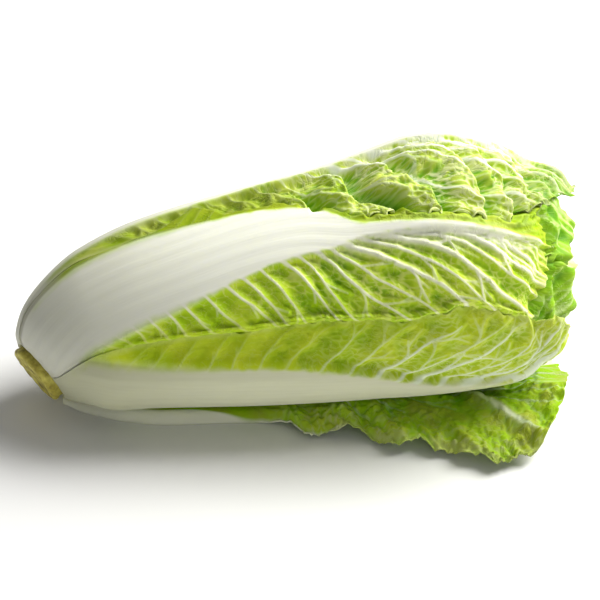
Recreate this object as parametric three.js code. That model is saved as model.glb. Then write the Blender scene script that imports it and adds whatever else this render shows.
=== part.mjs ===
/**
 * A head of napa cabbage, cut at the stump and lying on its side.
 *
 * The head is a stack of separate leaves round a short stem. Its outer form is a body of rings
 * from the stump to the crown. A point of a leaf is given by three coordinates: how far along
 * the body's flank it is, the angle round the head, and how deep it lies under the body's
 * surface, towards a core line inside the head. Leaves are laid from the outermost inwards,
 * and each one takes its depth from the leaves that already lie over it, so none cross.
 * One leaf has come away from the head: it lies under it and spreads over the table.
 *
 * Units are millimetres and degrees. +X runs from the stump to the crown, +Z is up, and the
 * head rests on z = 0. Angle 0 is the top of the head, 90 is its -Y side and 180 is underneath.
 */
import * as THREE from "three";

// ---- Driving dimensions ----------------------------------------------------------------

// The head's origin in the part's frame: it centres the whole part on x = 0 and y = 0.
const HEAD_ORIGIN = new THREE.Vector3(-165, 8.8, 0);

// Body rings: distance along the flank, centre x, y, z, radius, yaw and pitch of the ring's
// direction, and the x of the point on the core line that its leaves lie towards.
const BODY_RINGS = [
  [0, 7, -6, 27.5, 21, 32, 21, 80],
  [12, 10.5, -8, 32.5, 28, 28, 24, 81],
  [25, 18, -8, 40.5, 36, 20, 22, 82],
  [40, 29.5, -6, 49, 43, 12, 15, 83],
  [55, 43, -3, 56, 48.5, 6, 8, 85],
  [85, 72, 0, 64, 55, 1, 1, 96],
  [145, 132, 0, 71.5, 63.5, 0, 0, 134],
  [205, 192, 0, 77, 70.5, 0, 0, 182],
  [258, 245, 0, 82.5, 77, 0, 0, 214],
  [295, 281, 0, 82.5, 75, 0, 0, 226],
  [318, 300, 1, 82, 68.5, 0, 0, 233],
  [336, 312, 2, 82, 59.5, 0, 0, 238],
  [350, 321, 2, 82, 49, 0, 0, 241],
  [366, 328, 2, 82, 35, 0, 0, 243],
  [392, 332, 2, 82, 10, 0, 0, 246],
  [402, 332.6, 2, 82, 0.5, 0, 0, 247],
];
const FLANK = 402; // from the stump to the pole of the crown
// Height of the core line by its x.
const CORE_HEIGHT = [[80, 60], [247, 82]];

// The form that all the leaves share. A pair of numbers is a stretch of the flank.
const BLADE = 1.2; // thickness of a leaf's blade
const GAP = 1.4; // between a leaf and those over it
const LEAF = {
  ribShare: 0.34, // of the columns on each side lie on the midrib
  ribMost: 0.94, // of the way to the margin, at the base, where the midrib is the whole leaf
  ribRoundness: 0.75, // 0.5 is a half ellipse, 1 a parabola
  fan: [190, 310], // the columns spread from the narrowing midrib over the blade
  hollow: 2.4, // how far the blade lies below the outer face of its midrib
  hollowGrows: [40, 110],
  hollowFades: [220, 330],
  hollowFadesBy: 0.6,
  waveGrows: [90, 200],
  waveFromSide: 0.4, // of the way from the midrib to the margin
  waveFromTip: 0.82, // of the way from the base to the tip
  waveLength: 5.6, // of flank for each radian of the wave
  waveAcross: 1.6, // radians from the midrib to the margin
  waveShift: 2.1, // radians from one leaf to the next
  tipTaper: 50, // over this length the leaf narrows to its tip
  tipTaperPast: 8,
  tipNarrowing: 0.8,
  tipRounding: 18, // how much sooner it ends at its margins than at its tip
  noBelly: [[0, 0], [FLANK, 0]],
  bellyFades: [1.5, 0.6], // of the midrib's half width, from no swelling to all of it
  rootLength: 55, // over which it comes up from inside the stem
  coreRoom: 9, // left free round the core line
};

// A wrapper leaf's midrib: half width and thickness by distance along the flank.
const RIB_HALF_WIDTH = [
  [0, 15], [12, 20], [25, 24], [55, 27], [85, 27], [120, 24], [150, 20], [200, 12], [240, 6],
  [270, 3.4], [300, 2], [345, 0.8],
];
const RIB_THICKNESS = [
  [0, 1.2], [12, 5.5], [40, 8.5], [85, 8.5], [145, 6.5], [205, 3.8], [258, 1.6], [300, 0.7],
  [345, 0.1],
];

// Degrees from a leaf's midrib line to its margin, by distance along the flank.
const COMMON_REACH = [
  [0, 40], [40, 34], [85, 38], [120, 45], [160, 50], [205, 58], [258, 66], [300, 70], [345, 72],
];

// `stand` is how far a leaf's outer face stands off the body, and `belly` how far its midrib
// swells over that, by distance along the flank.
const WRAPPER_LEAVES = [
  {
    name: "leaf_top_back",
    rib: [
      [0, -62], [22, -60], [35, -57], [50, -54], [65, -52], [85, -51], [120, -46], [150, -42],
      [205, -32], [258, -22], [320, -12],
    ],
    reachLow: COMMON_REACH,
    reachHigh: [
      [0, 42], [22, 44], [35, 48], [50, 49], [66, 52], [81, 53], [96, 50], [108, 40], [118, 30],
      [128, 37], [138, 46], [150, 44], [170, 42], [185, 48], [205, 54], [258, 54], [300, 55],
      [345, 60],
    ],
    to: 364,
    stand: [[0, 0], [180, 0], [225, 3], [255, 6], [290, 4], [325, 3], [364, 12]],
    wave: 8,
    seed: 1,
  },
  {
    name: "leaf_front",
    rib: [
      [0, 98], [32, 101], [60, 112], [85, 118], [120, 120], [175, 121], [230, 123], [262, 124],
      [340, 120],
    ],
    reachLow: [
      [0, 32], [32, 31], [60, 39], [88, 44], [124, 46], [154, 46], [184, 48], [215, 47],
      [232, 46], [254, 48], [265, 51], [300, 45], [330, 44], [350, 47],
    ],
    reachHigh: [[0, 34], [55, 34], [120, 38], [205, 42], [258, 46], [300, 50], [345, 52]],
    to: 353,
    tipRounding: 6,
    stand: [[0, 0], [275, 0], [315, 4], [353, 10]],
    belly: [[20, 0], [70, 5.5], [150, 5.5], [205, 4.4], [260, 3.3], [290, 3.3], [345, 0]],
    wave: 3.5,
    seed: 2,
  },
  {
    name: "leaf_low_back",
    rib: [[0, 246], [120, 252], [345, 256]],
    reachLow: COMMON_REACH,
    reachHigh: [[0, 44], [40, 44], [85, 42], [120, 45], [205, 58], [300, 68], [345, 70]],
    to: 358,
    stand: [[0, 0], [310, 0], [358, 8]],
    wave: 6,
    seed: 3,
  },
  {
    name: "leaf_top",
    rib: [
      [0, 34], [60, 36], [90, 34], [120, 30], [150, 26], [180, 26], [205, 31], [235, 34],
      [262, 37], [303, 43], [345, 50],
    ],
    reachLow: [[0, 72], [25, 70], [40, 62], [85, 54], [120, 56], [205, 60], [300, 68], [345, 70]],
    reachHigh: [[0, 40], [40, 38], [85, 44], [120, 52], [160, 58], [205, 61], [258, 66], [345, 72]],
    to: 338,
    stand: [[0, 0], [345, 0]],
    wave: 4,
    seed: 4,
  },
];

// The leaves inside, each one turned on, shorter at its foot and slighter than the one before.
const INNER = {
  leaves: 10,
  spiral: 137.5, // degrees from each leaf to the next one inwards
  lastWrapper: 36, // the angle of the leaf that they follow
  lean: 10, // degrees that a midrib turns from its foot to the pole
  from: 14,
  fromStep: 2.2,
  to: 354,
  toStep: 6,
  stand: 5, // of its tip off the body
  standFrom: 310,
  standTo: 350,
  standStep: 5,
  stout: 0.72, // midrib against a wrapper leaf's
  stoutStep: 0.035,
  base: 14, // depth at which the foot leaves the stem
  baseStep: 2,
  wave: 2.5,
  seed: 5,
};

// The leaf on the table. Its curves go by x, and its near and far halves are on each side of
// its midrib. The near half lies flat and waves, and the far one curls up round the head.
const UNDER = {
  ribY: [[19, -6], [40, -9], [90, -12], [200, -13], [341, -6]],
  ribHalfWidth: [[19, 5], [26, 10], [60, 20], [100, 26], [130, 23], [200, 14], [260, 8], [340, 3]],
  ribThickness: [
    [19, 2.4], [26, 4.4], [60, 5], [130, 4], [192, 2.7], [245, 1.6], [300, 0.8], [340, 0.4],
  ],
  ribRoundness: 0.6,
  ribMost: 0.8, // of the way to the margin, where it is narrow
  near: [
    [19, 4], [26, 6], [41, 11.5], [54, 16.5], [78, 21.5], [127, 24], [152, 29], [164, 41],
    [186, 44], [208, 55], [220, 62], [239, 61], [254, 73], [276, 90], [300, 82], [341, 66],
  ],
  far: [
    [19, 6], [26, 12], [41, 20], [78, 30], [127, 42], [186, 62], [240, 84], [290, 92], [341, 84],
  ],
  start: 19,
  tip: 337,
  tipRounding: 34,
  tipRoundness: 2.6,
  fan: [170, 300],
  clearance: 1.2, // to the head above it
  bodyFrom: 20, // before this x and past the next one it curls round the same ring
  bodyTo: 285,
  liftFrom: 0.15, // radians round the head, where the curl leaves the table
  liftTo: 0.55,
  wave: 6,
  waveGrows: [110, 200],
  waveFromSide: 0.45,
  waveLength: 5.2,
  waveAcross: 2.4,
  tipCurl: 16, // height that the tip turns up by
  tipCurlGrows: [285, 345],
  tipCurlSlope: 1.5,
  foot: 5, // height of its cut foot, over the table
  footFades: [12, 34],
  freeHeadroom: 40, // where the head is not above it
};

const STUMP = {
  sides: 20,
  standout: 5, // of its cut face from the stalks
  radius: 19.5,
  bevel: 1.2,
  neck: 0.6,
  neckOut: 0.5,
  gap: 3.8, // between the stem and the stalks round it
  rings: [10, 22, 34, 48, 62], // along the flank, inside the stalks
  leastDepth: 0.3, // of the way to the core line
  coreRoom: 5,
};

const HEART = {
  rings: 13,
  sides: 20,
  from: 84,
  poleRoom: 2, // from its last ring to the pole of the crown
  fold: 3.5, // depth of the folds between its leaves
  foldsRound: 2,
  foldTwist: 0.5, // degrees along the spiral for each millimetre of flank
  coreRoom: 4,
};

// ---- Smooth curves through a few points -------------------------------------------------

/** A curve through [t, value, ...] knots: cubic pieces whose slopes follow the neighbours. */
function smooth(knots) {
  const slope = (i, c) => {
    const a = knots[Math.max(0, i - 1)];
    const b = knots[Math.min(knots.length - 1, i + 1)];
    return (b[c] - a[c]) / (b[0] - a[0]);
  };
  return (t, c = 1) => {
    if (t <= knots[0][0]) return knots[0][c];
    if (t >= knots.at(-1)[0]) return knots.at(-1)[c];
    let i = 0;
    while (knots[i + 1][0] < t) i += 1;
    const width = knots[i + 1][0] - knots[i][0];
    const s = (t - knots[i][0]) / width;
    const rise = knots[i + 1][c] - knots[i][c];
    const m0 = slope(i, c) * width;
    const m1 = slope(i + 1, c) * width;
    return knots[i][c] + s * (m0 + s * (3 * rise - 2 * m0 - m1 + s * (m0 + m1 - 2 * rise)));
  };
}

const step = (low, high, value) => THREE.MathUtils.smoothstep(value, low, high);
const clamp = THREE.MathUtils.clamp;

// ---- The head's body --------------------------------------------------------------------

const ring = smooth(BODY_RINGS);
const coreHeight = smooth(CORE_HEIGHT);
const ribHalfWidth = smooth(RIB_HALF_WIDTH);
const ribThickness = smooth(RIB_THICKNESS);

/** The ring's centre, its directions along, up and across, and its point on the core line. */
function ringFrame(along) {
  const yaw = THREE.MathUtils.degToRad(ring(along, 5));
  const pitch = THREE.MathUtils.degToRad(ring(along, 6));
  const level = Math.cos(pitch);
  const axis = new THREE.Vector3(level * Math.cos(yaw), level * Math.sin(yaw), Math.sin(pitch));
  const up = new THREE.Vector3(0, 0, 1).addScaledVector(axis, -axis.z).normalize();
  const coreX = ring(along, 7);
  return {
    centre: new THREE.Vector3(ring(along, 1), ring(along, 2), ring(along, 3)),
    radius: ring(along, 4),
    axis,
    up,
    near: axis.clone().cross(up),
    core: new THREE.Vector3(coreX, 0, coreHeight(coreX)),
  };
}

/** The point on the body's surface, and the unit direction in which depth is measured. */
function headRay(along, angle) {
  const f = ringFrame(along);
  const turn = THREE.MathUtils.degToRad(angle);
  const origin = f.centre
    .clone()
    .addScaledVector(f.up, f.radius * Math.cos(turn))
    .addScaledVector(f.near, f.radius * Math.sin(turn));
  const room = f.core.distanceTo(origin);
  return { origin, inward: f.core.sub(origin).normalize(), room };
}

function headPoint(along, angle, depth) {
  const { origin, inward } = headRay(along, angle);
  return origin.addScaledVector(inward, depth);
}

// ---- How deep the leaves laid so far reach ----------------------------------------------

const CELL_ALONG = 4;
const CELL_ANGLE = 3;
const ROWS = Math.ceil(FLANK / CELL_ALONG) + 1;
const COLUMNS = 360 / CELL_ANGLE;
// How far round itself a leaf pushes the next one down, and how softly, in millimetres: near
// the stump, where the stalks lie edge to edge, and on the rest of the head.
const STALK_PUSH = { along: 8, across: 2, blur: 3 };
const BLADE_PUSH = { along: 16, across: 12, blur: 8 };
const STALKS_END = [50, 100]; // the stretch of flank where the one passes into the other

const rays = [];
for (let i = 0; i < ROWS; i += 1) {
  for (let j = 0; j < COLUMNS; j += 1) {
    const { origin, inward } = headRay(i * CELL_ALONG, j * CELL_ANGLE);
    rays.push(new THREE.Ray(origin, inward));
  }
}
const laid = new Float64Array(ROWS * COLUMNS);

const wrapColumn = (j) => ((j % COLUMNS) + COLUMNS) % COLUMNS;

/** The cell at a row and column, where a row past the pole comes down on its other side. */
function cellAt(i, j) {
  const past = i > ROWS - 1;
  const row = past ? 2 * (ROWS - 1) - i : Math.max(i, 0);
  return row * COLUMNS + wrapColumn(past ? j + COLUMNS / 2 : j);
}

/** Each cell becomes what `pick` makes of those round it: first along the flank, then across. */
function filterCells(cells, along, across, pick) {
  const pass = (source, read, reachOf) => {
    const out = new Float64Array(source.length);
    for (let i = 0; i < ROWS; i += 1) {
      const reach = reachOf(i);
      for (let j = 0; j < COLUMNS; j += 1) {
        const near = [];
        for (let k = -reach; k <= reach; k += 1) near.push(source[read(i, j, k)]);
        out[i * COLUMNS + j] = pick(near);
      }
    }
    return out;
  };
  const columnWidth = (i) => THREE.MathUtils.degToRad(CELL_ANGLE) * ring(i * CELL_ALONG, 4);
  const rows = pass(cells, (i, j, k) => cellAt(i + k, j), () => Math.round(along / CELL_ALONG));
  const acrossCells = (i) => Math.min(COLUMNS / 2, Math.ceil(across / columnWidth(i)));
  return pass(rows, (i, j, k) => cellAt(i, j + k), acrossCells);
}

/** The depth that the next leaf must keep below, as a function of place. */
function coverNow() {
  const softened = ({ along, across, blur }) => {
    const widened = filterCells(laid, along, across, (near) => Math.max(...near));
    return filterCells(widened, blur, blur, (near) => near.reduce((a, b) => a + b) / near.length);
  };
  const [stalks, blades] = [softened(STALK_PUSH), softened(BLADE_PUSH)];
  const cells = stalks.map((depth, cell) => {
    const along = Math.floor(cell / COLUMNS) * CELL_ALONG;
    return THREE.MathUtils.lerp(depth, blades[cell], step(...STALKS_END, along));
  });
  return (along, angle) => {
    const i = clamp(along / CELL_ALONG, 0, ROWS - 1.001);
    const j = angle / CELL_ANGLE;
    const [i0, j0] = [Math.floor(i), Math.floor(j)];
    const [fi, fj] = [i - i0, j - j0];
    const at = (di, dj) => cells[(i0 + di) * COLUMNS + wrapColumn(j0 + dj)];
    const { lerp } = THREE.MathUtils;
    return lerp(lerp(at(0, 0), at(0, 1), fj), lerp(at(1, 0), at(1, 1), fj), fi);
  };
}

const POLE_ROWS = 6; // a triangle this near the pole may reach round it

/** Notes how deep a triangle of a leaf's inner face lies, where the cells' rays meet it. */
function layTriangle(corners) {
  const spans = (pick, cell) => {
    const values = corners.map(pick);
    return [Math.floor(Math.min(...values) / cell), Math.ceil(Math.max(...values) / cell)];
  };
  let [i0, i1] = spans((corner) => corner.along, CELL_ALONG);
  let [j0, j1] = spans((corner) => corner.angle, CELL_ANGLE);
  if (i1 > ROWS - POLE_ROWS || j1 - j0 > COLUMNS / 2) [i1, j0, j1] = [ROWS - 1, 0, COLUMNS - 1];
  const [a, b, c] = corners.map((corner) => corner.point);
  const hit = new THREE.Vector3();
  for (let i = Math.max(0, i0); i <= Math.min(ROWS - 1, i1); i += 1) {
    for (let j = j0; j <= j1; j += 1) {
      const cell = i * COLUMNS + wrapColumn(j);
      if (!rays[cell].intersectTriangle(a, b, c, false, hit)) continue;
      laid[cell] = Math.max(laid[cell], hit.distanceTo(rays[cell].origin));
    }
  }
}

// ---- Solids made of two faces of points -------------------------------------------------

function closed(points, index) {
  const geometry = new THREE.BufferGeometry();
  const numbers = points.flatMap((point) => point.toArray());
  geometry.setAttribute("position", new THREE.Float32BufferAttribute(numbers, 3));
  geometry.setIndex(index);
  geometry.computeVertexNormals();
  return geometry;
}

/** A closed sheet: grids of points for the outer and the inner face, joined round the edge. */
function sheet(outer, inner) {
  const [rows, columns] = [outer.length, outer[0].length];
  const out = (i, j) => i * columns + j;
  const inn = (i, j) => rows * columns + i * columns + j;
  const index = [];
  const quad = (a, b, c, d) => index.push(a, c, b, a, d, c);
  for (let i = 0; i < rows - 1; i += 1) {
    for (let j = 0; j < columns - 1; j += 1) {
      quad(out(i, j), out(i + 1, j), out(i + 1, j + 1), out(i, j + 1));
      quad(inn(i, j), inn(i, j + 1), inn(i + 1, j + 1), inn(i + 1, j));
    }
    quad(out(i, 0), inn(i, 0), inn(i + 1, 0), out(i + 1, 0));
    quad(out(i + 1, columns - 1), inn(i + 1, columns - 1), inn(i, columns - 1), out(i, columns - 1));
  }
  for (let j = 0; j < columns - 1; j += 1) {
    quad(out(0, j + 1), inn(0, j + 1), inn(0, j), out(0, j));
    quad(out(rows - 1, j), inn(rows - 1, j), inn(rows - 1, j + 1), out(rows - 1, j + 1));
  }
  return closed([...outer.flat(), ...inner.flat()], index);
}

/** A closed solid through rings of points, capped at both ends. */
function loft(rings) {
  const count = rings[0].length;
  const middle = (points) => {
    const sum = new THREE.Vector3();
    for (const point of points) sum.add(point);
    return sum.divideScalar(count);
  };
  const points = [...rings.flat(), middle(rings[0]), middle(rings.at(-1))];
  const last = (rings.length - 1) * count;
  const index = [];
  for (let j = 0; j < count; j += 1) {
    const k = (j + 1) % count;
    for (let i = 0; i < last; i += count) {
      index.push(i + j, i + count + k, i + count + j, i + j, i + k, i + count + k);
    }
    index.push(points.length - 2, k, j, points.length - 1, last + j, last + k);
  }
  return closed(points, index);
}

// ---- Leaves that hold to the head -------------------------------------------------------

/** How far a column lies from the midrib's line: `side` is 0 there and 1 at the margin. */
function columnAway(side, rib, reach, fan) {
  const inner = THREE.MathUtils.lerp(rib, LEAF.ribShare * reach, fan);
  if (side < LEAF.ribShare) return (side / LEAF.ribShare) * inner;
  return inner + ((side - LEAF.ribShare) / (1 - LEAF.ribShare)) * (reach - inner);
}

/** How full the midrib is at some distance from its line: 1 on the line, 0 on the blade. */
function ribFullness(away, rib, roundness) {
  return Math.max(0, 1 - (away / rib) ** 2) ** roundness;
}

const CROWN_TURN = [285, 350]; // where a leaf's lines leave the flank's and run straight on

/**
 * The place on the head of a point of a leaf: `run` is its distance along the midrib and
 * `away` its degrees to the side. Over the crown the leaf's lines stay side by side, so its
 * tip can lie across the pole.
 */
function placeOnHead(run, away, ribAngle) {
  const toPole = FLANK - run;
  const sideways = THREE.MathUtils.degToRad(away) * ring(Math.min(run, CROWN_TURN[1]), 4);
  const turn = step(...CROWN_TURN, run);
  const straight = THREE.MathUtils.radToDeg(Math.atan2(sideways, toPole));
  return {
    along: THREE.MathUtils.lerp(run, FLANK - Math.hypot(toPole, sideways), turn),
    angle: ribAngle + THREE.MathUtils.lerp(away, straight, turn),
  };
}

/**
 * The outer and inner point at one place of a leaf of the head. `across` runs from -1 to 1,
 * from margin to margin, and `toTip` from 0 to 1. `cover` is how deep the leaves over it lie.
 */
function leafPoints(leaf, curves, cover, across, toTip) {
  const { from, to, tipRounding, stout, base, wave, seed } = leaf;
  const side = Math.abs(across);
  const run = from + (to - tipRounding * side ** 3 - from) * toTip;
  const narrowing = LEAF.tipNarrowing * step(to - LEAF.tipTaper, to + LEAF.tipTaperPast, run);
  const reach = (across < 0 ? curves.low : curves.high)(run) * Math.sqrt(1 - narrowing);
  const rib = Math.min(
    THREE.MathUtils.radToDeg((stout * ribHalfWidth(run)) / ring(run, 4)),
    LEAF.ribMost * reach,
  );
  const away = columnAway(side, rib, reach, step(...LEAF.fan, run));
  const { along, angle } = placeOnHead(run, Math.sign(across) * away, curves.rib(run));
  const onRib = ribFullness(away, rib, LEAF.ribRoundness);
  const thickness = BLADE + stout * ribThickness(run) * onRib;

  const margin = Math.max(step(LEAF.waveFromSide, 1, side), step(LEAF.waveFromTip, 1, toTip));
  const phase = run / LEAF.waveLength + LEAF.waveAcross * across + LEAF.waveShift * seed;
  const ruffle = wave * margin * (0.5 + 0.5 * Math.sin(phase)) * step(...LEAF.waveGrows, run);
  const fade = LEAF.hollowFadesBy * step(...LEAF.hollowFades, run);
  const sunk = LEAF.hollow * step(...LEAF.hollowGrows, run) * (1 - onRib) * (1 - fade);

  const over = cover(along, angle);
  const covered = step(0, 1, over);
  const swell = curves.belly(run) * step(...LEAF.bellyFades, away / rib);
  const free = (1 - covered) * (sunk + ruffle - curves.stand(run) - swell);
  const start = base * (1 - step(from, from + LEAF.rootLength, run));
  const { origin, inward, room } = headRay(along, angle);
  const depth = Math.min(Math.max(over + covered * GAP, start) + free, room - LEAF.coreRoom);
  const outer = origin.clone().addScaledVector(inward, depth);
  const inner = outer.clone().addScaledVector(inward, thickness);
  return [outer, inner].map((point) => ({ along, angle, point }));
}

/**
 * A leaf of the head, laid under those that are there already. `rib`, `reachLow`, `reachHigh`
 * and `stand` are curves of its midrib's angle, of the degrees to its two margins and of how
 * far it stands off the body where nothing covers it. Its midrib swells out by `belly`.
 */
function headLeaf(leaf) {
  const { rows, columns } = leaf;
  const cover = coverNow();
  const curves = {
    rib: smooth(leaf.rib),
    low: smooth(leaf.reachLow),
    high: smooth(leaf.reachHigh),
    stand: smooth(leaf.stand),
    belly: smooth(leaf.belly),
  };
  const [outer, inner] = [[], []];
  for (let i = 0; i < rows; i += 1) {
    outer.push([]);
    inner.push([]);
    for (let j = 0; j < columns; j += 1) {
      const across = (2 * j) / (columns - 1) - 1;
      const [out, inn] = leafPoints(leaf, curves, cover, across, i / (rows - 1));
      outer[i].push(out);
      inner[i].push(inn);
    }
  }
  for (let i = 0; i < rows - 1; i += 1) {
    for (let j = 0; j < columns - 1; j += 1) {
      layTriangle([inner[i][j], inner[i][j + 1], inner[i + 1][j + 1]]);
      layTriangle([inner[i][j], inner[i + 1][j + 1], inner[i + 1][j]]);
    }
  }
  const points = (face) => face.map((line) => line.map((place) => place.point));
  return sheet(points(outer), points(inner));
}

function wrapperLeaf(leaf) {
  const { tipRounding, noBelly: belly } = LEAF;
  return headLeaf({
    from: 1, stout: 1, base: 0, tipRounding, belly, rows: 29, columns: 13, ...leaf,
  });
}

function innerLeaf(count) {
  const turn = INNER.lastWrapper + INNER.spiral * count;
  return headLeaf({
    rib: [[0, turn], [FLANK, turn + INNER.lean]],
    reachLow: COMMON_REACH,
    reachHigh: COMMON_REACH,
    from: INNER.from + INNER.fromStep * count,
    to: INNER.to + INNER.toStep * count,
    tipRounding: LEAF.tipRounding,
    stand: [
      [0, 0], [INNER.standFrom, 0], [INNER.standTo + INNER.standStep * count, INNER.stand],
      [FLANK, INNER.stand],
    ],
    belly: LEAF.noBelly,
    stout: INNER.stout - INNER.stoutStep * count,
    base: INNER.base + INNER.baseStep * count,
    wave: INNER.wave,
    seed: INNER.seed + count,
    rows: 15,
    columns: 9,
  });
}

// ---- The leaf that lies under the head --------------------------------------------------

/** The place along the flank where the body's rings stand at a given x. */
function alongAt(x) {
  let [low, high] = [0, FLANK];
  for (let i = 0; i < 30; i += 1) {
    const middle = (low + high) / 2;
    if (ring(middle, 1) < x) low = middle;
    else high = middle;
  }
  return low;
}

/** The lower and upper point at one place of the leaf on the table. */
function underPoints(curves, across, toTip) {
  const side = Math.abs(across);
  const end = UNDER.tip - UNDER.tipRounding * side ** UNDER.tipRoundness;
  const x = UNDER.start + (end - UNDER.start) * toTip;
  const half = (across < 0 ? curves.near : curves.far)(x);
  const rib = Math.min(curves.ribHalfWidth(x), UNDER.ribMost * half);
  const away = columnAway(side, rib, half, step(...UNDER.fan, x));
  const y = curves.ribY(x) + Math.sign(across) * away;
  const thickness = BLADE + curves.ribThickness(x) * ribFullness(away, rib, UNDER.ribRoundness);

  const body = ringFrame(alongAt(clamp(x, UNDER.bodyFrom, UNDER.bodyTo)));
  const radius = body.radius + UNDER.clearance + thickness;
  const sideways = y - body.centre.y;
  const turn = Math.max(0, sideways) / radius;
  const drop = body.centre.z - Math.sqrt(Math.max(0, radius ** 2 - sideways ** 2));
  const headroom = Math.abs(sideways) < body.radius ? Math.max(0, drop) : UNDER.freeHeadroom;
  const ripple = 0.5 + 0.5 * Math.sin(x / UNDER.waveLength + UNDER.waveAcross * across);
  const ruffle = UNDER.wave * ripple * step(UNDER.waveFromSide, 1, side) * step(...UNDER.waveGrows, x);
  const curl = UNDER.tipCurl * step(...UNDER.tipCurlGrows, x) ** UNDER.tipCurlSlope;
  const wave = Math.min(ruffle + curl, headroom);
  const foot = UNDER.foot * (1 - step(...UNDER.footFades, x));

  const lower = new THREE.Vector3(x, y, foot + wave);
  if (turn > 0) {
    const roundHead = body.centre.z - radius * Math.cos(turn);
    lower.y = body.centre.y + radius * Math.sin(turn);
    lower.z = foot + Math.max(wave, step(UNDER.liftFrom, UNDER.liftTo, turn) * roundHead);
  }
  const upwards = new THREE.Vector3(0, -Math.sin(turn), Math.cos(turn));
  return [lower, lower.clone().addScaledVector(upwards, thickness)];
}

function underLeaf() {
  const curves = {};
  for (const name of ["ribY", "ribHalfWidth", "ribThickness", "near", "far"]) {
    curves[name] = smooth(UNDER[name]);
  }
  const [rows, columns] = [27, 15];
  const [lower, upper] = [[], []];
  for (let i = 0; i < rows; i += 1) {
    lower.push([]);
    upper.push([]);
    for (let j = 0; j < columns; j += 1) {
      const [low, high] = underPoints(curves, (2 * j) / (columns - 1) - 1, i / (rows - 1));
      lower[i].push(low);
      upper[i].push(high);
    }
  }
  return sheet(lower, upper);
}

// ---- Stem and heart ---------------------------------------------------------------------

function stump() {
  const cover = coverNow();
  const face = ringFrame(0);
  const plug = [
    [STUMP.standout, STUMP.radius - STUMP.bevel],
    [STUMP.standout - STUMP.bevel, STUMP.radius],
    [STUMP.neckOut, STUMP.radius - STUMP.neck],
  ];
  const rings = plug.map(([out, radius]) => {
    const points = [];
    for (let j = 0; j < STUMP.sides; j += 1) {
      const turn = (2 * Math.PI * j) / STUMP.sides;
      const point = face.centre.clone().addScaledVector(face.axis, -out);
      point.addScaledVector(face.up, radius * Math.cos(turn));
      points.push(point.addScaledVector(face.near, radius * Math.sin(turn)));
    }
    return points;
  });
  for (const along of STUMP.rings) {
    rings.push([]);
    for (let j = 0; j < STUMP.sides; j += 1) {
      const angle = (360 * j) / STUMP.sides;
      const { room } = headRay(along, angle);
      const least = Math.max(cover(along, angle) + STUMP.gap, STUMP.leastDepth * room);
      rings.at(-1).push(headPoint(along, angle, Math.min(least, room - STUMP.coreRoom)));
    }
  }
  return loft(rings);
}

/** The young leaves in the middle, packed too tight to tell apart. */
function heart() {
  const cover = coverNow();
  const rings = [];
  for (let i = 0; i < HEART.rings; i += 1) {
    const length = FLANK - HEART.poleRoom - HEART.from;
    const along = HEART.from + (length * i) / (HEART.rings - 1);
    rings.push([]);
    for (let j = 0; j < HEART.sides; j += 1) {
      const angle = (360 * j) / HEART.sides;
      const { room } = headRay(along, angle);
      const turn = THREE.MathUtils.degToRad(HEART.foldsRound * angle + HEART.foldTwist * along);
      const depth = cover(along, angle) + GAP + HEART.fold * Math.abs(Math.sin(turn));
      rings.at(-1).push(headPoint(along, angle, Math.min(depth, room - HEART.coreRoom)));
    }
  }
  return loft(rings);
}

// ---- The whole head ---------------------------------------------------------------------

const head = new THREE.Group();
head.position.copy(HEAD_ORIGIN);

function add(name, geometry, color, roughness) {
  const material = new THREE.MeshStandardMaterial({ color, roughness, metalness: 0 });
  const mesh = new THREE.Mesh(geometry, material);
  mesh.name = name;
  head.add(mesh);
}

add("leaf_under", underLeaf(), 0x86a83a, 0.55);
for (const leaf of WRAPPER_LEAVES) add(leaf.name, wrapperLeaf(leaf), 0xa3bd52, 0.5);
for (let count = 1; count <= INNER.leaves; count += 1) {
  add(`inner_leaf_${count}`, innerLeaf(count), 0xd9e09a, 0.5);
}
add("stump", stump(), 0xb7a765, 0.8);
add("heart", heart(), 0xe8e6ae, 0.5);

export default head;
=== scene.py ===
"""A head of napa cabbage on its side, with a loose leaf under it, dressed for the render.

The head is laid leaf by leaf from the outside in. A place on it is given in head coordinates:
the distance along its flank from the stump, the angle round it (0 on top, 90 on the side with
the loose leaf, 180 underneath) and the depth below its outer form. Lengths are in millimetres
and angles in degrees until a mesh is made, which is in metres.
"""
import math

import bmesh
import bpy
import numpy as np
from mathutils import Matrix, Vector, kdtree


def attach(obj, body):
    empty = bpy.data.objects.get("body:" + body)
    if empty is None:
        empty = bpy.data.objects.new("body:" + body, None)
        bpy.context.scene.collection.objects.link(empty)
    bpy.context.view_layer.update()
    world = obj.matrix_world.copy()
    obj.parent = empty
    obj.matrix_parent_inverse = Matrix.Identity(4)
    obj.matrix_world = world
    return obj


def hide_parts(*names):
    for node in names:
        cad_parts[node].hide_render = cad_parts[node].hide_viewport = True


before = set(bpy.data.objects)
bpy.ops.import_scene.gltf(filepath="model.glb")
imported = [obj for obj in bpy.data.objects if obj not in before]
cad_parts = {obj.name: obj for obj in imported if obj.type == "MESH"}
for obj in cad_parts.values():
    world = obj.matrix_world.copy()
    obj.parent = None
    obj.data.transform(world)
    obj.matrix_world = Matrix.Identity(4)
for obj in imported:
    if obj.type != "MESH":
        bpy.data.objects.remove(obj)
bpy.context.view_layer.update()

# ---- Table, light and camera ----
# The head lies on a plain pale table, in soft light from above and a little behind it.
# The camera looks down on its side from the left.

MM = 0.001
TABLE_SIZE = 6.0
LOOK_AT = Vector((-2.0, -6.15, 75)) * MM
CAMERA_AZIMUTH = math.radians(-6.5)
CAMERA_HEIGHT = math.radians(36)
CAMERA_DISTANCE = 1.0
LENS = 100
SENSOR_WIDTH = 36
NEAREST_SEEN = 0.01
FRAME_SHIFT = 5 / 600  # of the frame's width, by which the head lies left of its middle
WORLD_STRENGTH = 0.2
TABLE_WHITE = (0.9, 0.9, 0.9, 1)


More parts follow.
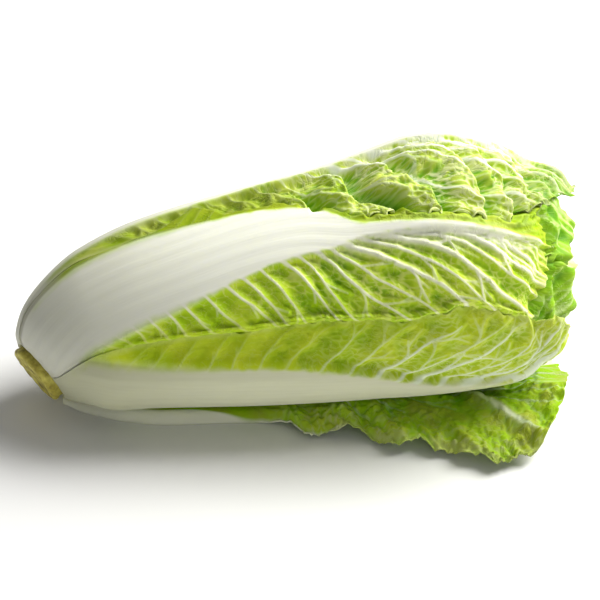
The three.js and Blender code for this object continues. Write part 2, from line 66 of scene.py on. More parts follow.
def area_light(name, place, size, power, color):
    """A square soft light that points at the head."""
    light = bpy.data.lights.new(name, "AREA")
    light.size = size
    light.energy = power
    light.color = color
    lamp = bpy.data.objects.new(name, light)
    lamp.location = place
    lamp.rotation_euler = (LOOK_AT - Vector(place)).to_track_quat("-Z", "Y").to_euler()
    bpy.context.collection.objects.link(lamp)


area_light("sky_light", (0.98, 0.35, 1.25), size=1.2, power=54, color=(1.0, 0.99, 0.96))
area_light("front_light", (0.6, -1.6, 0.9), size=1.4, power=3, color=(1.0, 1.0, 0.98))

world = bpy.data.worlds.new("studio")
bpy.context.scene.world = world
world.use_nodes = True
background = world.node_tree.nodes["Background"].inputs
background["Color"].default_value = (1.0, 1.0, 1.0, 1)
background["Strength"].default_value = WORLD_STRENGTH
bpy.context.scene.view_settings.view_transform = "Standard"

camera = bpy.data.objects.new("camera", bpy.data.cameras.new("camera"))
camera.data.lens = LENS
camera.data.sensor_width = SENSOR_WIDTH
camera.data.shift_x = FRAME_SHIFT
camera.data.clip_start = NEAREST_SEEN
camera.location = LOOK_AT + CAMERA_DISTANCE * Vector((
    math.sin(CAMERA_AZIMUTH) * math.cos(CAMERA_HEIGHT),
    -math.cos(CAMERA_AZIMUTH) * math.cos(CAMERA_HEIGHT),
    math.sin(CAMERA_HEIGHT),
))
camera.rotation_euler = (LOOK_AT - camera.location).to_track_quat("-Z", "Y").to_euler()
bpy.context.collection.objects.link(camera)
bpy.context.scene.camera = camera


def set_inputs(node, inputs):
    """Sets a node's inputs to values, or links them to sockets."""
    for name, value in inputs.items():
        if isinstance(value, bpy.types.NodeSocket):
            node.id_data.links.new(value, node.inputs[name])
        else:
            node.inputs[name].default_value = value


def add_node(tree, kind, inputs=None, **settings):
    """A shader node with its settings and inputs."""
    node = tree.nodes.new(kind)
    for name, value in settings.items():
        setattr(node, name, value)
    set_inputs(node, inputs or {})
    return node


def new_material(name):
    """A material, its tree and its Principled shader."""
    material = bpy.data.materials.new(name)
    material.use_nodes = True
    return material, material.node_tree, material.node_tree.nodes["Principled BSDF"]


def piece_of(name, bm, material):
    """An object with the bmesh's faces in a material."""
    mesh = bpy.data.meshes.new(name)
    bm.to_mesh(mesh)
    bm.free()
    mesh.materials.append(material)
    piece = bpy.data.objects.new(name, mesh)
    bpy.context.collection.objects.link(piece)
    return piece


table_material, _, table_shader = new_material("pale_table")
set_inputs(table_shader, {"Base Color": TABLE_WHITE, "Roughness": 0.7})
table_bm = bmesh.new()
bmesh.ops.create_grid(table_bm, x_segments=1, y_segments=1, size=TABLE_SIZE / 2)
table = piece_of("table", table_bm, table_material)

# ---- Loose leaf under the head ----
# A wrapper leaf that has come away. Its thick stalk lies under the head and holds its weight,
# its near half spreads over the table with a ruffled edge, its far half curls up behind.

HEAD_ORIGIN = np.array([-165.0, 8.8, 0.0])
# Rings of the head's outer form: distance along the flank, then the columns named under them.
# The last one is the x of the point on the core line that the leaves lie towards.
BODY_RINGS = [
    [0, 7, -6, 27.5, 21, 32, 21, 80],
    [12, 10.5, -8, 32.5, 28, 28, 24, 81],
    [25, 18, -8, 40.5, 36, 20, 22, 82],
    [40, 29.5, -6, 49, 43, 12, 15, 83],
    [55, 43, -3, 56, 48.5, 6, 8, 85],
    [85, 72, 0, 64, 55, 1, 1, 96],
    [145, 132, 0, 71.5, 63.5, 0, 0, 134],
    [205, 192, 0, 77, 70.5, 0, 0, 182],
    [258, 245, 0, 82.5, 77, 0, 0, 214],
    [295, 281, 0, 82.5, 75, 0, 0, 226],
    [318, 300, 1, 82, 68.5, 0, 0, 233],
    [336, 312, 2, 82, 59.5, 0, 0, 238],
    [350, 321, 2, 82, 49, 0, 0, 241],
    [366, 328, 2, 82, 35, 0, 0, 243],
    [392, 332, 2, 82, 10, 0, 0, 246],
    [402, 332.6, 2, 82, 0.5, 0, 0, 247],
]
X, Y, Z, RADIUS, YAW, PITCH, CORE_X = range(1, 8)
FLANK = 402  # from the stump to the pole of the crown
BLADE = 1.2
EDGE_THICKNESS = 0.7

UNDER = {
    "rib_y": [[19, -6], [40, -9], [90, -12], [200, -13], [341, -6]],
    "rib_half_width": [
        [19, 5], [26, 10], [60, 20], [100, 26], [130, 23], [200, 14], [260, 8], [340, 3],
    ],
    "rib_thickness": [
        [19, 2.4], [26, 4.4], [60, 5], [130, 4], [192, 2.7], [245, 1.6], [300, 0.8], [340, 0.4],
    ],
    "near": [
        [19, 4], [26, 6], [41, 11.5], [54, 16.5], [78, 21.5], [127, 24], [152, 29], [164, 41],
        [186, 44], [208, 55], [220, 63], [239, 66], [254, 74], [276, 88], [300, 82], [341, 66],
    ],
    "far": [
        [19, 6], [26, 12], [41, 20], [78, 30], [127, 42], [186, 62], [240, 84], [290, 92],
        [341, 84],
    ],
}


def smooth(knots):
    """A curve through [t, value, ...] knots: cubic pieces whose slopes follow the neighbours."""
    knots = np.array(knots, float)
    t = knots[:, 0]
    last = len(t) - 1
    before = knots[[max(0, i - 1) for i in range(last + 1)]]
    after = knots[[min(last, i + 1) for i in range(last + 1)]]
    slopes = (after - before) / (after[:, :1] - before[:, :1])

    def curve(place, column=1):
        place = np.clip(place, t[0], t[-1])
        i = np.clip(np.searchsorted(t, place, side="right") - 1, 0, last - 1)
        width = t[i + 1] - t[i]
        s = (place - t[i]) / width
        rise = knots[i + 1, column] - knots[i, column]
        m0 = slopes[i, column] * width
        m1 = slopes[i + 1, column] * width
        return knots[i, column] + s * (m0 + s * (3 * rise - 2 * m0 - m1 + s * (m0 + m1 - 2 * rise)))

    return curve


def step(low, high, value):
    """0 up to low, 1 from high on, and a smooth rise between."""
    s = np.clip((value - low) / (high - low), 0, 1)
    return s * s * (3 - 2 * s)


def lerp(a, b, share):
    """a where the share is 0, b where it is 1, and a straight line between."""
    return a + (b - a) * share


def floor(value):
    """The whole number at or below each value."""
    return np.floor(value).astype(int)


def unit(value):
    """A value between -1 and 1, moved to between 0 and 1."""
    return 0.5 + 0.5 * value


def bell(far, width):
    """1 on a line, and down to 0 a few widths from it."""
    return np.exp(-(far / width) ** 2)


ring = smooth(BODY_RINGS)


class Bumps:
    """Smooth bumps of a given size over a plane, between -1 and 1, the same each run."""

    CELLS = 64

    def __init__(self, seed):
        self.heights = np.random.default_rng(seed).uniform(-1, 1, (self.CELLS, self.CELLS))

    def __call__(self, x, y, size):
        x, y = np.asarray(x) / size, np.asarray(y) / size
        i, j = floor(x), floor(y)
        s, t = step(0, 1, x - i), step(0, 1, y - j)
        at = lambda di, dj: self.heights[(i + di) % self.CELLS, (j + dj) % self.CELLS]
        return lerp(lerp(at(0, 0), at(1, 0), s), lerp(at(0, 1), at(1, 1), s), t)


def along_at(x):
    """The place along the flank where the head's rings stand at a given x."""
    places = np.linspace(0, FLANK, 2000)
    return np.interp(x, ring(places), places)


def tree_of(rows):
    """A search tree of places on a blade, which are the first two values of each row."""
    tree = kdtree.KDTree(len(rows))
    for index, (u, v, *_) in enumerate(rows):
        tree.insert((u, v, 0), index)
    tree.balance()
    return tree


VEIN_STEP = 0.6
VEIN_LONGEST = 165
VEIN_ROOM = 1.5  # from a vein's end to the margin
FOOT_SPREAD = 57  # degrees that a vein turns out to near the leaf's foot
BRANCH_SPACING = 11
BRANCH_FROM = 26  # steps that a vein needs before it branches


def side_veins(seed, rib_half, reach, start, end, spacing, stout, tip_spread=23):
    """
    The side veins of a leaf as rows of (u, v, half width), with u along the midrib and v across
    it. Each leaves the midrib at a low angle, turns out to the margin, thins and sends out
    branches. `stout` is how strong they are, by u, and `tip_spread` the degrees they turn out
    to near the tip.
    """
    rng = np.random.default_rng(seed)
    lines = []

    def grow(u, v, hand, heading, width):
        """The places of one vein that grows from (u, v) up to the margin."""
        x = u + np.cumsum(np.cos(heading)) * VEIN_STEP
        y = v + np.cumsum(np.sin(heading)) * VEIN_STEP
        on_leaf = np.cumprod((y < reach(x, hand) - VEIN_ROOM) & (x < end + 34) & (y > 0)) > 0
        return np.stack([x, y, heading, width], -1)[on_leaf]

    def branches(line, hand, most, length, level, main_veins, own):
        """Adds a vein's branches, which end where they meet another of the main veins."""
        count = int(min(most, len(line) * VEIN_STEP / BRANCH_SPACING))
        side = rng.choice((-1, 1))
        for k in range(count):
            place = (k + rng.uniform(0.7, 1.3)) / (count + 1)
            x, y, heading, width = line[int(len(line) * place)]
            side = -side
            reach_out = length * rng.uniform(0.6, 1.3)
            t = np.arange(0, reach_out, VEIN_STEP)
            away = heading + side * (rng.uniform(0.3, 0.45) + 0.35 * step(0, 14, t))
            away = away + 0.12 * np.sin(t / 3.5 + rng.uniform(0, 6))
            half = max(0.3, 0.6 * width) * (1 - 0.6 * t / reach_out)
            branch = grow(x, y, hand, away, half)
            for index, (x, y, *_) in enumerate(branch):
                _, met, far = main_veins.find((x, y, 0))
                if owners[met] != own and far < VEIN_STEP:
                    branch = branch[:index + 1]
                    break
            lines.append(branch[:, [0, 1, 3]] * (1, hand, 1))
            if level < 1 and len(branch) > BRANCH_FROM:
                branches(branch, hand, 2, 0.6 * length, level + 1, main_veins, own)

    for hand in (-1, 1):
        main_lines, shares = [], []
        slight = False
        u = start + rng.uniform(0, 0.5) * spacing
        while u < end:
            share = float(step(120, 250, u))
            strong = float(stout(u)) * rng.uniform(0.85, 1.12)
            strong = strong * lerp(1, 0.5 if slight else 1.1, share)
            slight = not slight
            spread = lerp(FOOT_SPREAD, tip_spread, share) * lerp(1, 0.6, step(250, 310, u))
            spread = math.radians(spread + rng.uniform(-4, 4))
            v = 0.75 * float(rib_half(u))
            room = float(reach(np.array(u), hand)) - v
            length = min(VEIN_LONGEST, 1.15 * room / math.sin(spread) + 6)
            t = np.arange(0, length, VEIN_STEP)
            heading = spread * lerp(0.25, 1, step(0, lerp(13, 60, share), t))
            heading = heading + 0.10 * np.sin(u / 17 + t / 11 + hand)
            heading = heading - 0.2 * step(0.6, 1, t / length)
            heading = heading + 0.05 * np.sin(t / 3.3 + rng.uniform(0, 6))
            width = strong * lerp(1.0, 1.6, share) * (0.3 + 0.7 * (1 - t / length) ** 1.1)
            line = grow(u - 5, v, hand, heading, width)
            lines.append(line[:, [0, 1, 3]] * (1, hand, 1))
            main_lines.append(line)
            shares.append(share)
            u += spacing * rng.uniform(0.8, 1.25) * lerp(1, 1.4, step(240, 290, u))
        owners = np.repeat(np.arange(len(main_lines)), [len(line) for line in main_lines])
        main_veins = tree_of(np.concatenate(main_lines))
        for own, (line, share) in enumerate(zip(main_lines, shares)):
            if len(line) >= BRANCH_FROM:
                branches(line, hand, lerp(1, 4, share), lerp(8, 26, share), 0, main_veins, own)
    return np.concatenate(lines)


FINE_VEIN = 0.65  # half width below which a side vein shows less


def vein_masks(far, half):
    """The distance from the nearest vein in its half widths, and how plain that vein is."""
    return far / np.maximum(half, FINE_VEIN), np.minimum(1, half / FINE_VEIN)


def net_distance(seed, u, v, size):
    """How far each place of a blade is from the net of thin veins between uneven cells."""
    bumps = Bumps(seed + 90)
    x = (u - 0.6 * np.abs(v) + 0.4 * size * bumps(u, v, 0.8 * size)) / (1.2 * size)
    y = (v + 0.4 * size * bumps(u + 300, v, 0.8 * size)) / (0.85 * size)
    i, j = floor(x), floor(y)
    cells = Bumps.CELLS
    shifts = np.random.default_rng(seed).uniform(0.06, 0.94, (cells, cells, 2))
    nearest = np.full(x.shape, 9.0)
    second = nearest.copy()
    for di in (-1, 0, 1):
        for dj in (-1, 0, 1):
            shift = shifts[(i + di) % cells, (j + dj) % cells]
            far = np.hypot(i + di + shift[..., 0] - x, j + dj + shift[..., 1] - y)
            second = np.minimum(second, np.maximum(nearest, far))
            nearest = np.minimum(nearest, far)
    return size * (second - nearest) / 2


def distance_to(veins, u, v):
    """How far each place is from the nearest vein, and that vein's half width."""
    tree = tree_of(veins)
    far = np.empty(u.size)
    width = np.empty(u.size)
    for index, (x, y) in enumerate(zip(u.flat, v.flat)):
        _, found, distance = tree.find((x, y, 0))
        far[index] = distance
        width[index] = veins[found, 2]
    return far.reshape(u.shape), width.reshape(u.shape)


def leaf_object(name, outer, inner, uv, masks, material):
    """
    A leaf as one closed sheet: a fine outer face, an inner face with every second row and
    column, and a rim between them. `masks` are vertex attributes given on the fine grid.
    """
    rows, columns = outer.shape[:2]
    bm = bmesh.new()

    def grid(across, along):
        made = bmesh.ops.create_grid(bm, x_segments=across, y_segments=along, size=1)
        return made["verts"]

    fine = grid(columns - 1, rows - 1)
    coarse = grid((columns - 1) // 2, (rows - 1) // 2)
    coarse_columns = (columns + 1) // 2
    bmesh.ops.reverse_faces(bm, faces=[f for f in bm.faces if f.verts[0].index >= rows * columns])
    places = np.concatenate([outer.reshape(-1, 3), inner[::2, ::2].reshape(-1, 3)])
    places = (places + HEAD_ORIGIN) * MM
    bm.verts.ensure_lookup_table()
    for vert, place in zip(bm.verts, places):
        vert.co = place
    fine_at = lambda i, j: fine[i * columns + j]
    coarse_at = lambda i, j: coarse[(i // 2) * coarse_columns + j // 2]
    edge = [(0, j) for j in range(0, columns - 1, 2)]
    edge += [(i, columns - 1) for i in range(0, rows - 1, 2)]
    edge += [(rows - 1, j) for j in range(columns - 1, 0, -2)]
    edge += [(i, 0) for i in range(rows - 1, 0, -2)]
    for (i0, j0), (i1, j1) in zip(edge, edge[1:] + edge[:1]):
        middle = fine_at((i0 + i1) // 2, (j0 + j1) // 2)
        inner_side = [coarse_at(i0, j0), coarse_at(i1, j1)]
        bm.faces.new([*inner_side, fine_at(i1, j1), middle, fine_at(i0, j0)])
    bmesh.ops.recalc_face_normals(bm, faces=bm.faces)
    uv_layer = bm.loops.layers.uv.new("leaf")
    uv_places = np.concatenate([uv.reshape(-1, 2), uv[::2, ::2].reshape(-1, 2)]) * MM
    bm.verts.index_update()
    for face in bm.faces:
        face.smooth = True
        for loop in face.loops:
            loop[uv_layer].uv = uv_places[loop.vert.index]
    piece = piece_of(name, bm, material)
    for mask, values in masks.items():
        attribute = piece.data.attributes.new(mask, "FLOAT", "POINT")
        both = np.concatenate([values.ravel(), values[::2, ::2].ravel()])
        attribute.data.foreach_set("value", both.astype(np.float32))
    return piece


FIBRE_SCALE = (22.0, 620.0, 1.0)  # long threads that run down a stalk
# The tint that a leaf's colour is multiplied towards where painted shade falls on it.
PAINTED_SHADE_TINT = (0.48, 0.47, 0.40, 1)


def leaf_skin():
    """
    Node group for the skin of a leaf, from its attributes: `rib` is 1 on the midrib, `vein` is
    the distance from a side vein in its half widths, `bold` how plain the veins are, `pit` is
    1 in the hollows, which turn a deeper green that is partly the blade's own and partly painted
    shade, `pale` is 1 on the crests, which get a painted highlight, and `shade` is painted shade,
    1 where the blade is darkened, at its foot and beside the leaf over it. `net` and `edge` are
    the distances in millimetres to the net of thin veins and to the margin, and near the margin
    the blade is painted lighter, as if light shone through it.
    """
    group = bpy.data.node_groups.new("leaf_skin", "ShaderNodeTree")

    def add_socket(name, way, kind="NodeSocketColor"):
        group.interface.new_socket(name, in_out=way, socket_type=kind)

    for name in ("Rib", "Rib Shade", "Blade", "Blade Light", "Blade Deep", "Vein", "Net"):
        add_socket(name, "INPUT")
    add_socket("Net Strength", "INPUT", "NodeSocketFloat")
    add_socket("Color", "OUTPUT")
    for name in ("Roughness", "Height"):
        add_socket(name, "OUTPUT", "NodeSocketFloat")
    given = add_node(group, "NodeGroupInput").outputs

    def mask(name):
        return add_node(group, "ShaderNodeAttribute", attribute_name=name).outputs["Fac"]

    def math_node(operation, a, b, clamp=False):
        settings = {"operation": operation, "use_clamp": clamp}
        return add_node(group, "ShaderNodeMath", {0: a, 1: b}, **settings).outputs[0]

    def times(a, b, clamp=False):
        return math_node("MULTIPLY", a, b, clamp)

    def plus(a, b):
        return math_node("ADD", a, b)

    def fade(value, full, none):
        """1 where value is up to `full`, 0 where it is over `none`."""
        node = add_node(group, "ShaderNodeMapRange", {
            "Value": value, "From Min": full, "From Max": none, "To Min": 1.0, "To Max": 0.0,
        }, interpolation_type="SMOOTHSTEP")
        return node.outputs["Result"]

    def mix(share, a, b, way="MIX"):
        settings = {"data_type": "RGBA", "clamp_factor": True, "blend_type": way}
        return add_node(group, "ShaderNodeMix", {0: share, 6: a, 7: b}, **settings).outputs[2]

    def noise(vector, scale, detail=3.0):
        return add_node(group, "ShaderNodeTexNoise", {
            "Vector": vector, "Scale": scale, "Detail": detail, "Roughness": 0.55,
        }).outputs["Fac"]

    place = add_node(group, "ShaderNodeUVMap", uv_map="leaf").outputs["UV"]
    lengthwise = add_node(group, "ShaderNodeMapping", {"Vector": place, "Scale": FIBRE_SCALE})
    fibre = noise(lengthwise.outputs["Vector"], 1.0, 4.0)
    patches = noise(place, 38.0)
    grain = noise(place, 260.0)
    warp = add_node(group, "ShaderNodeTexNoise", {"Vector": place, "Scale": 150.0, "Detail": 3.0})
    bend = add_node(
        group, "ShaderNodeMix", {0: 0.006, 4: place, 5: warp.outputs["Color"]}, data_type="VECTOR",
    )
    cells = add_node(group, "ShaderNodeTexVoronoi", {
        "Vector": bend.outputs[1], "Scale": 400.0,
    }, feature="DISTANCE_TO_EDGE", voronoi_dimensions="2D").outputs["Distance"]
    thin_net = times(fade(cells, 0.0, 0.17), fade(noise(place, 90.0), 0.62, 0.42))

    side_vein = fade(mask("vein"), 0.35, 1.7)
    halo = times(fade(mask("vein"), 1.0, 3.0), times(mask("bold"), 0.45))
    net_vein = fade(mask("net"), 0.1, 0.85)
    rib = mask("rib")

    # Painted light: within a few millimetres of the margin the blade is lighter, as if light shone
    # through the thin edge.
    painted_margin_light = times(fade(mask("edge"), 0.6, 5.0), 0.4)
    blade = mix(fade(patches, 0.66, 0.36), given["Blade"], given["Blade Light"])
    # The hollows turn the deeper green, unevenly: partly the blade's own colour, partly painted
    # shade.
    deep_share = times(mask("pit"), plus(grain, 0.35), True)
    blade = mix(deep_share, blade, given["Blade Deep"])
    # Painted highlight: the crests turn lighter, with the net of thin veins in them.
    blade = mix(mask("pale"), blade, mix(net_vein, given["Blade Light"], given["Net"]))
    blade = mix(halo, blade, given["Blade Light"])
    net = math_node("MAXIMUM", net_vein, times(thin_net, 0.6))
    net = times(net, plus(patches, 0.35), True)
    net = times(net, mask("bold"))
    blade = mix(times(net, given["Net Strength"], True), blade, given["Net"])
    blade = mix(painted_margin_light, blade, given["Net"])
    plain_vein = times(side_vein, mask("bold"))
    blade = mix(plain_vein, blade, mix(fade(mask("edge"), 2.0, 22.0), given["Vein"], given["Net"]))
    stalk = mix(times(fibre, 0.7), given["Rib"], given["Rib Shade"])
    # Painted shade: where `shade` is 1 the colour is multiplied by the shade tint.
    color = mix(mask("shade"), mix(rib, blade, stalk), PAINTED_SHADE_TINT, "MULTIPLY")

    rough = plus(0.42, times(grain, 0.2))
    flat_net = math_node("SUBTRACT", 1.0, rib)
    height = times(thin_net, times(flat_net, 0.3))
    height = plus(height, times(grain, times(flat_net, 0.3)))
    height = plus(height, times(fibre, times(rib, 0.22)))
    add_node(group, "NodeGroupOutput", {"Color": color, "Roughness": rough, "Height": height})
    return group


LEAF_SKIN = leaf_skin()


def leaf_material(name, net_strength, shine=0.15, **colors):
    """A leaf's material: its skin in these colours, a little light shining through it."""
    material, tree, shader = new_material(name)
    colors = {key.replace("_", " ").title(): (*color, 1) for key, color in colors.items()}
    colors["Net Strength"] = net_strength
    skin = add_node(tree, "ShaderNodeGroup", node_tree=LEAF_SKIN)
    set_inputs(skin, colors)
    bump = add_node(tree, "ShaderNodeBump", {
        "Height": skin.outputs["Height"], "Strength": 0.7, "Distance": 0.001,
    })
    set_inputs(shader, {
        "Base Color": skin.outputs["Color"], "Roughness": skin.outputs["Roughness"],
        "Normal": bump.outputs["Normal"], "Specular IOR Level": shine,
        "Subsurface Weight": 0.2, "Subsurface Scale": 0.002, "Subsurface Radius": (1.0, 1.0, 0.4),
    })
    return material


UNDER_GREEN = leaf_material(
    "deep_leaf", 0.45, shine=0.04,
    rib=(0.96, 0.97, 0.80), rib_shade=(0.84, 0.87, 0.64), blade=(0.35, 0.62, 0.003),
    blade_light=(0.40, 0.49, 0.04), blade_deep=(0.32, 0.72, 0.0005), vein=(0.62, 0.76, 0.52),
    net=(0.49, 0.54, 0.22),
)
STALK_HEIGHT = [[19, 4], [40, 7.5], [75, 8.5], [120, 8], [165, 5.5], [205, 0]]
ROUND_RIM = 5  # of the stalk's sides
UNDER_GAP = 1.2  # between this leaf and the head's outer form
OPEN_ROOM = 40  # over the leaf, where the head isn't above it


def under_leaf():
    """The loose leaf, whose far half curls up behind the head from under its middle."""
    rows, columns = 371, 177
    start, tip, tip_rounding = 19, 337, 34
    across, share = np.meshgrid(np.linspace(-1, 1, columns), np.linspace(0, 1, rows))
    side, hand = np.abs(across), np.sign(across)
    bumps = Bumps(11)
    near, far, rib_y = smooth(UNDER["near"]), smooth(UNDER["far"]), smooth(UNDER["rib_y"])
    rib_half, rib_thick = smooth(UNDER["rib_half_width"]), smooth(UNDER["rib_thickness"])
    teeth = 2.4 * bumps(across * 100, 7, 3.0) + 4.0 * bumps(across * 60, 3, 10)
    x = start + (tip - tip_rounding * side ** 2.6 - start - 5 + teeth * step(0.8, 1, share)) * share
    half = np.where(across < 0, near(x), far(x))
    frill = step(130, 190, x)
    notch = frill * (1.6 * bumps(x, 5 * hand, 1.7) + 3.4 * bumps(x, 40 + 5 * hand, 8))
    stalk = (1 - step(150, 205, x)) * (across < 0)
    away = side * (half + 1.5 * frill + notch * step(0.5, 1, side))
    y = rib_y(x) + hand * away
    edge = np.minimum(half - away, (tip - x) * 0.9)
    off_rib = away / np.minimum(rib_half(x), 0.9 * half)
    on_rib = np.maximum(0, 1 - off_rib ** 2) ** 0.6
    rim = np.sqrt(np.clip(edge / ROUND_RIM, 0.012, 1) * (2 - np.clip(edge / ROUND_RIM, 0, 1)))
    sheet = lerp(EDGE_THICKNESS, BLADE, step(0, 6, edge)) + rib_thick(x) * on_rib
    thickness = np.maximum(sheet * lerp(1, rim, stalk), smooth(STALK_HEIGHT)(x) * rim * stalk)

    def reach(u, hand):
        return (near if hand < 0 else far)(np.clip(u, start, tip))

    veins = side_veins(12, rib_half, reach, 90, 318, 15, lambda u: 0.8)
    t = np.linspace(0, 1, 120)
    ridge_line = np.stack([lerp(260, 302, t), -6 - 66 * t ** 0.6, 2.2 - 1.2 * t], -1)
    veins = np.concatenate([veins, ridge_line])
    v = hand * away
    off_ridge, _ = distance_to(ridge_line, x, v)
    vein_far, vein_half = distance_to(veins, x, v)
    net_far = net_distance(13, x, v, 4.6)

    frame_along = along_at(np.clip(x, 20, 285))
    centre_y, centre_z, body_radius = (ring(frame_along, column) for column in (Y, Z, RADIUS))
    radius = body_radius + UNDER_GAP + thickness
    sideways = y - centre_y
    turn = np.maximum(0, sideways) / radius
    drop = centre_z - np.sqrt(np.maximum(0, radius ** 2 - sideways ** 2))
    headroom = np.where(np.abs(sideways) < body_radius, np.maximum(0, drop), OPEN_ROOM)
    pleats = unit(np.sin((x - 0.5 * away) / 1.3 + 3.4 * bumps(x, away, 9)))
    pleats = pleats * (0.65 + 0.35 * bumps(x, 3, 13))
    waves = unit(np.sin(x / 6.5 + 2.4 * across + 1.8 * bumps(x, away, 30)))
    margin = step(26, 3, edge) * step(120, 190, x)
    tip_frill = step(0.85, 1, share)
    hump = 11 * step(0.15, 0.5, side) * step(1.0, 0.55, side) * step(130, 200, x)
    big_ridge = 5 * bell(off_ridge, 5)
    ruffle = (6.5 * waves + 3.2 * pleats) * margin + hump + big_ridge
    ruffle += 2.2 * tip_frill * unit(np.sin(away / 2.2 + 3 * bumps(x, away, 9)))
    on_blade = step(1.0, 1.35, off_rib) * step(120, 200, x)
    crinkle = 2.6 * unit(bumps(x, away, 9)) + 1.7 * unit(bumps(x, away, 4))
    puckers = np.abs(bumps(x, away, 3.4))
    crinkle = crinkle + 2.2 * puckers * step(34, 14, edge)
    pocket = 1.3 * (1 - bell(vein_far, 3)) + 1.1 * (1 - bell(net_far, 1.1))
    relief = (crinkle + pocket) * on_blade
    curl = 14 * step(285, 345, x) ** 1.5
    wave = np.minimum(ruffle + relief + curl, headroom)
    foot = 5 * (1 - step(12, 34, x))
    round_head = centre_z - radius * np.cos(turn)
    curled = turn > 0
    low = np.stack([
        x,
        np.where(curled, centre_y + radius * np.sin(turn), y),
        foot + np.where(curled, np.maximum(wave, step(0.15, 0.55, turn) * round_head), wave),
    ], -1)
    lean = np.where(across < 0, 0, turn)
    upwards = np.stack([np.zeros_like(x), -np.sin(lean), np.cos(lean)], -1)
    high = low + upwards * thickness[..., None]
    rim_width = lerp(4.6, -1, step(80, 150, x)) + 0.6 * bumps(x, 3, 16)
    stalk_rim = step(rim_width + 1.2, rim_width, edge)
    wing_green = step(40, 72, x + 3 * bumps(x, 9, 5))
    stalk_white = np.maximum(stalk_rim, 1 - wing_green) * stalk
    pale_ridge = 0.75 * bell(off_ridge, 2.2) * step(302, 284, x)
    vein_share, plain = vein_masks(vein_far, vein_half)
    midrib = step(1.06, 0.93, off_rib) * (1 - stalk)
    masks = {
        "rib": np.maximum(np.maximum(midrib, stalk_white), pale_ridge),
        "vein": vein_share,
        "net": net_far,
        "bold": 0.75 * on_blade * plain,
        # The low places among the crinkles and the blade by the midrib, under the head, turn the
        # deeper green: partly its own colour, partly painted shade.
        "pit": np.clip(1.05 - relief / 3.4 + 0.3 * step(0.7, 0.3, side), 0, 1) * on_blade,
        "edge": np.where(stalk > 0.3, 9, edge),
        # Painted shade over the last part of the leaf, towards its tip.
        "shade": 0.5 * step(230, 290, x),
        # Painted highlight on the crests of the pleats and puckers by the margin.
        "pale": np.clip((0.5 * pleats + 0.8 * puckers) * margin, 0, 0.8) * step(330, 300, x),
    }
    return leaf_object("under_leaf", high, low, np.stack([x, v], -1), masks, UNDER_GREEN)


loose_leaf = under_leaf()
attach(loose_leaf, "root")
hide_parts("leaf_under")

# ---- Wrapper leaves ----
# Four leaves wrap the head. Each is a thick white stalk that grows from the stem and runs on
# as a midrib, with a thin green blade whose veins stand proud of the hollows between them.

CORE_HEIGHT = [[80, 60], [247, 82]]  # of the line that the leaves lie round, by its x
CORE_ROOM = 9  # that the leaves leave free round it
GAP = 0.3  # between a leaf and those over it
FOLD_DEPTH = 9  # of a big fold's valley
FOLD_LEAN = 6  # of its crest towards the tip
FOLD_NOTCH = 11  # that its valley cuts into the margin
SOFT_MARGIN = 2.5  # of a leaf gives way to the leaf under it
SHELTER = 7  # from a leaf's margin, over which the leaf under it is darkened by painted shade
HAZE_WIDTH = 16  # of the whitened blade beside a midrib
CELL_ALONG = 2.0  # a cell of the raster that keeps how deep the leaves reach
CELL_ANGLE = 1.5  # its degrees round the head
RIB_HALF_WIDTH = [
    [0, 15], [12, 20], [25, 24], [55, 27], [85, 27], [120, 24], [150, 20], [200, 12], [240, 6],
    [270, 3.4], [300, 2], [345, 0.8],
]
RIB_THICKNESS = [
    [0, 1.2], [12, 5.5], [40, 8.5], [85, 8.5], [145, 6.5], [205, 3.8], [258, 1.6], [300, 0.7],
    [345, 0.1],
]
COMMON_REACH = [
    [0, 40], [40, 34], [85, 38], [120, 45], [160, 50], [205, 58], [258, 66], [300, 70], [345, 72],
]

core_height = smooth(CORE_HEIGHT)
rib_half_width = smooth(RIB_HALF_WIDTH)
rib_thickness = smooth(RIB_THICKNESS)


def ring_frame(along):
    """A ring's centre, and its directions along the flank, up and to the near side."""
    yaw, pitch = np.radians(ring(along, YAW)), np.radians(ring(along, PITCH))
    axis = np.stack([np.cos(pitch) * np.cos(yaw), np.cos(pitch) * np.sin(yaw), np.sin(pitch)], -1)
    up = np.array([0, 0, 1.0]) - axis * axis[..., 2:]
    up /= np.linalg.norm(up, axis=-1, keepdims=True)
    centre = np.stack([ring(along, X), ring(along, Y), ring(along, Z)], -1)
    return centre, axis, up, np.cross(axis, up)


def head_ray(along, angle):
    """The point on the head's outer form, the direction of depth, and the room to the core."""
    centre, _, up, near = ring_frame(along)
    core_x = ring(along, CORE_X)
    core = np.stack([core_x, np.zeros_like(core_x), core_height(core_x)], -1)
    turn = np.radians(angle)[..., None]
    radius = ring(along, RADIUS)[..., None]
    origin = centre + radius * (up * np.cos(turn) + near * np.sin(turn))
    room = np.linalg.norm(core - origin, axis=-1)
    return origin, (core - origin) / room[..., None], room


CELL_ROWS = int(FLANK / CELL_ALONG) + 2
CELL_COLUMNS = int(360 / CELL_ANGLE)
laid = np.zeros((CELL_ROWS, CELL_COLUMNS))


